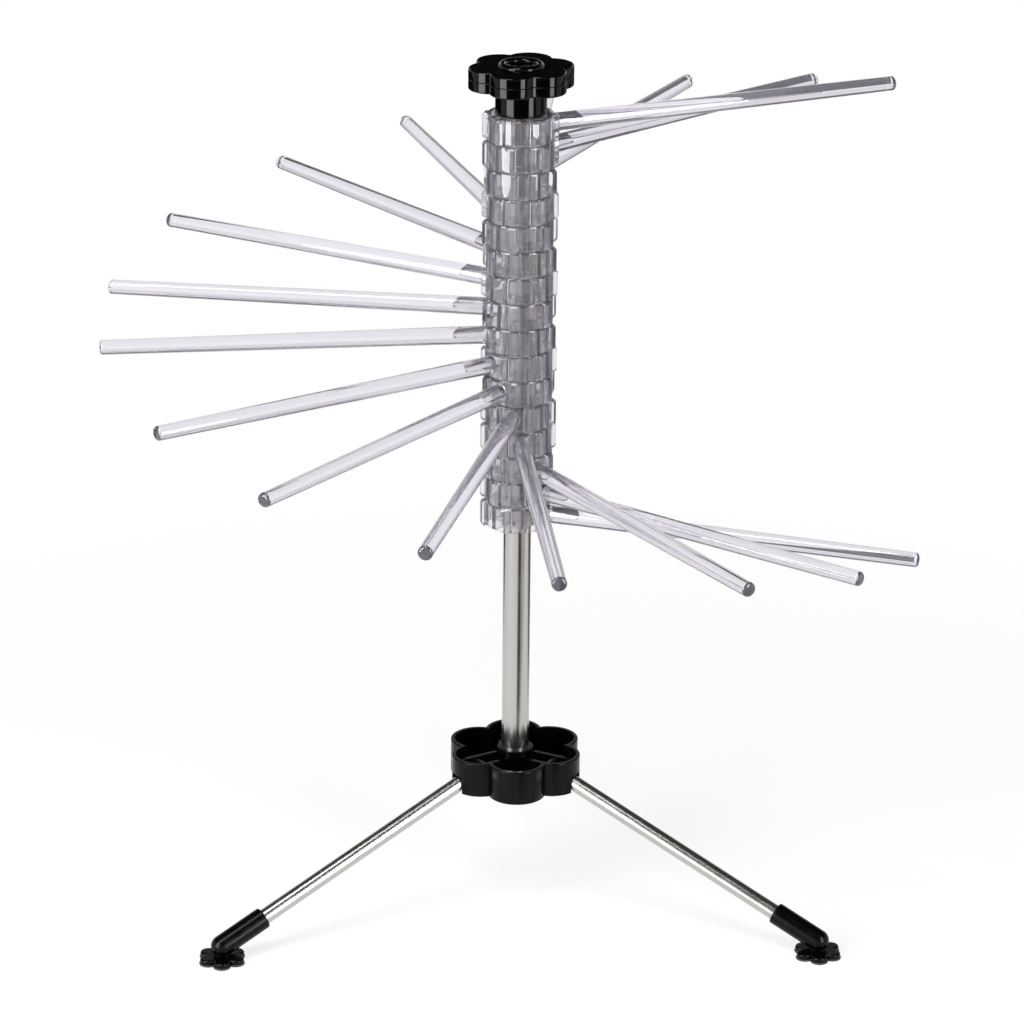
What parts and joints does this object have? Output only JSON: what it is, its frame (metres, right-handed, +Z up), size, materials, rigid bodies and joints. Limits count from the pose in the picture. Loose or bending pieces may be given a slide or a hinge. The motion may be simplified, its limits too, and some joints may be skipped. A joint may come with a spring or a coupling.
{
  "type": "pasta drying rack",
  "caption": "Folding table-top pasta drying rack: clear arms stacked on a chromed post fan out as a spiral under a lobed knob, on a lobed hub with folding legs and swivelling feet.",
  "frame": {"origin": "point on the table under the post's axis, in the plane of the three rubber soles", "axes": "+Z up along the post, the longest extent; legs spread evenly round it, one towards +Y; the front, between the other two legs, is towards -Y and +X is to its right"},
  "size_m": [0.4033, 0.4157, 0.4418],
  "materials": {
    "clear_plastic": "clear moulded polystyrene with a faint violet-grey cast, polished",
    "chromed_steel": "bright chromed steel tube",
    "black_gloss_plastic": "glossy black moulded ABS",
    "black_satin_plastic": "satin black moulded plastic",
    "bright_steel": "zinc-plated steel of screws and pins",
    "grey_rubber": "dark grey non-slip rubber"
  },
  "bodies": {
    "stand": {"hub": "black_satin_plastic", "hub_screw": "bright_steel", "post_tube": "chromed_steel", "post_top_plug": "black_satin_plastic", "post_bottom_plug": "black_satin_plastic", "knob_screw": "bright_steel", "knob_washer": "bright_steel", "stack_pin": "bright_steel", "arm_16": "clear_plastic", "pivot_pin_1": "bright_steel", "pivot_pin_2": "bright_steel", "pivot_pin_3": "bright_steel"},
    "ring_15": {"arm_15": "clear_plastic"},
    "ring_14": {"arm_14": "clear_plastic"},
    "ring_13": {"arm_13": "clear_plastic"},
    "ring_12": {"arm_12": "clear_plastic"},
    "ring_11": {"arm_11": "clear_plastic"},
    "ring_10": {"arm_10": "clear_plastic"},
    "ring_09": {"arm_09": "clear_plastic"},
    "ring_08": {"arm_08": "clear_plastic"},
    "ring_07": {"arm_07": "clear_plastic"},
    "ring_06": {"arm_06": "clear_plastic"},
    "ring_05": {"arm_05": "clear_plastic"},
    "ring_04": {"arm_04": "clear_plastic"},
    "ring_03": {"arm_03": "clear_plastic"},
    "ring_02": {"arm_02": "clear_plastic"},
    "ring_01": {"arm_01": "clear_plastic", "knob_base": "black_gloss_plastic", "knob_cap": "black_gloss_plastic"},
    "leg_1": {"leg_tube_1": "chromed_steel", "leg_knuckle_1": "black_satin_plastic", "leg_boot_1": "black_satin_plastic"},
    "foot_1": {"foot_pad_1": "black_satin_plastic", "foot_sole_1": "grey_rubber"},
    "leg_2": {"leg_tube_2": "chromed_steel", "leg_knuckle_2": "black_satin_plastic", "leg_boot_2": "black_satin_plastic"},
    "foot_2": {"foot_pad_2": "black_satin_plastic", "foot_sole_2": "grey_rubber"},
    "leg_3": {"leg_tube_3": "chromed_steel", "leg_knuckle_3": "black_satin_plastic", "leg_boot_3": "black_satin_plastic"},
    "foot_3": {"foot_pad_3": "black_satin_plastic", "foot_sole_3": "grey_rubber"}
  },
  "joints": [
    {"name": "ring_15_turn", "type": "hinge", "parent": "stand", "child": "ring_15", "pos_m": [0, 0, 0.222], "axis": [0, 0, 1], "range_deg": [-7.8, 19.2]},
    {"name": "ring_14_turn", "type": "hinge", "parent": "ring_15", "child": "ring_14", "pos_m": [0, 0, 0.2354], "axis": [0, 0, 1], "range_deg": [-6.3, 20.7]},
    {"name": "ring_13_turn", "type": "hinge", "parent": "ring_14", "child": "ring_13", "pos_m": [0, 0, 0.2488], "axis": [0, 0, 1], "range_deg": [-0.9, 26.1]},
    {"name": "ring_12_turn", "type": "hinge", "parent": "ring_13", "child": "ring_12", "pos_m": [0, 0, 0.2622], "axis": [0, 0, 1], "range_deg": [-9.8, 17.2]},
    {"name": "ring_11_turn", "type": "hinge", "parent": "ring_12", "child": "ring_11", "pos_m": [0, 0, 0.2756], "axis": [0, 0, 1], "range_deg": [-4.1, 22.9]},
    {"name": "ring_10_turn", "type": "hinge", "parent": "ring_11", "child": "ring_10", "pos_m": [0, 0, 0.289], "axis": [0, 0, 1], "range_deg": [-5.9, 21.1]},
    {"name": "ring_09_turn", "type": "hinge", "parent": "ring_10", "child": "ring_09", "pos_m": [0, 0, 0.3024], "axis": [0, 0, 1], "range_deg": [-0.5, 26.5]},
    {"name": "ring_08_turn", "type": "hinge", "parent": "ring_09", "child": "ring_08", "pos_m": [0, 0, 0.3158], "axis": [0, 0, 1], "range_deg": [-11.3, 15.7]},
    {"name": "ring_07_turn", "type": "hinge", "parent": "ring_08", "child": "ring_07", "pos_m": [0, 0, 0.3292], "axis": [0, 0, 1], "range_deg": [-5.6, 21.4]},
    {"name": "ring_06_turn", "type": "hinge", "parent": "ring_07", "child": "ring_06", "pos_m": [0, 0, 0.3426], "axis": [0, 0, 1], "range_deg": [-3.9, 23.1]},
    {"name": "ring_05_turn", "type": "hinge", "parent": "ring_06", "child": "ring_05", "pos_m": [0, 0, 0.356], "axis": [0, 0, 1], "range_deg": [-6.7, 20.3]},
    {"name": "ring_04_turn", "type": "hinge", "parent": "ring_05", "child": "ring_04", "pos_m": [0, 0, 0.3694], "axis": [0, 0, 1], "range_deg": [-5.8, 21.2]},
    {"name": "ring_03_turn", "type": "hinge", "parent": "ring_04", "child": "ring_03", "pos_m": [0, 0, 0.3828], "axis": [0, 0, 1], "range_deg": [-5.7, 21.3]},
    {"name": "ring_02_turn", "type": "hinge", "parent": "ring_03", "child": "ring_02", "pos_m": [0, 0, 0.3962], "axis": [0, 0, 1], "range_deg": [-5.2, 21.8]},
    {"name": "ring_01_turn", "type": "hinge", "parent": "ring_02", "child": "ring_01", "pos_m": [0, 0, 0.4096], "axis": [0, 0, 1], "range_deg": [-8.7, 18.3]},
    {"name": "leg_1_fold", "type": "hinge", "parent": "stand", "child": "leg_1", "pos_m": [0.01819, -0.0105, 0.0705], "axis": [0.5, 0.866, 0], "range_deg": [0, 67.5]},
    {"name": "foot_1_tilt", "type": "hinge", "parent": "leg_1", "child": "foot_1", "pos_m": [0.15017, -0.0867, 0.008], "axis": [0.5, 0.866, 0], "range_deg": [-18, 5]},
    {"name": "leg_2_fold", "type": "hinge", "parent": "stand", "child": "leg_2", "pos_m": [0, 0.021, 0.0705], "axis": [-1, 0, 0], "range_deg": [0, 67.5]},
    {"name": "foot_2_tilt", "type": "hinge", "parent": "leg_2", "child": "foot_2", "pos_m": [0, 0.1734, 0.008], "axis": [-1, 0, 0], "range_deg": [-18, 5]},
    {"name": "leg_3_fold", "type": "hinge", "parent": "stand", "child": "leg_3", "pos_m": [-0.01819, -0.0105, 0.0705], "axis": [0.5, -0.866, 0], "range_deg": [0, 67.5]},
    {"name": "foot_3_tilt", "type": "hinge", "parent": "leg_3", "child": "foot_3", "pos_m": [-0.15017, -0.0867, 0.008], "axis": [0.5, -0.866, 0], "range_deg": [-18, 5]}
  ]
}
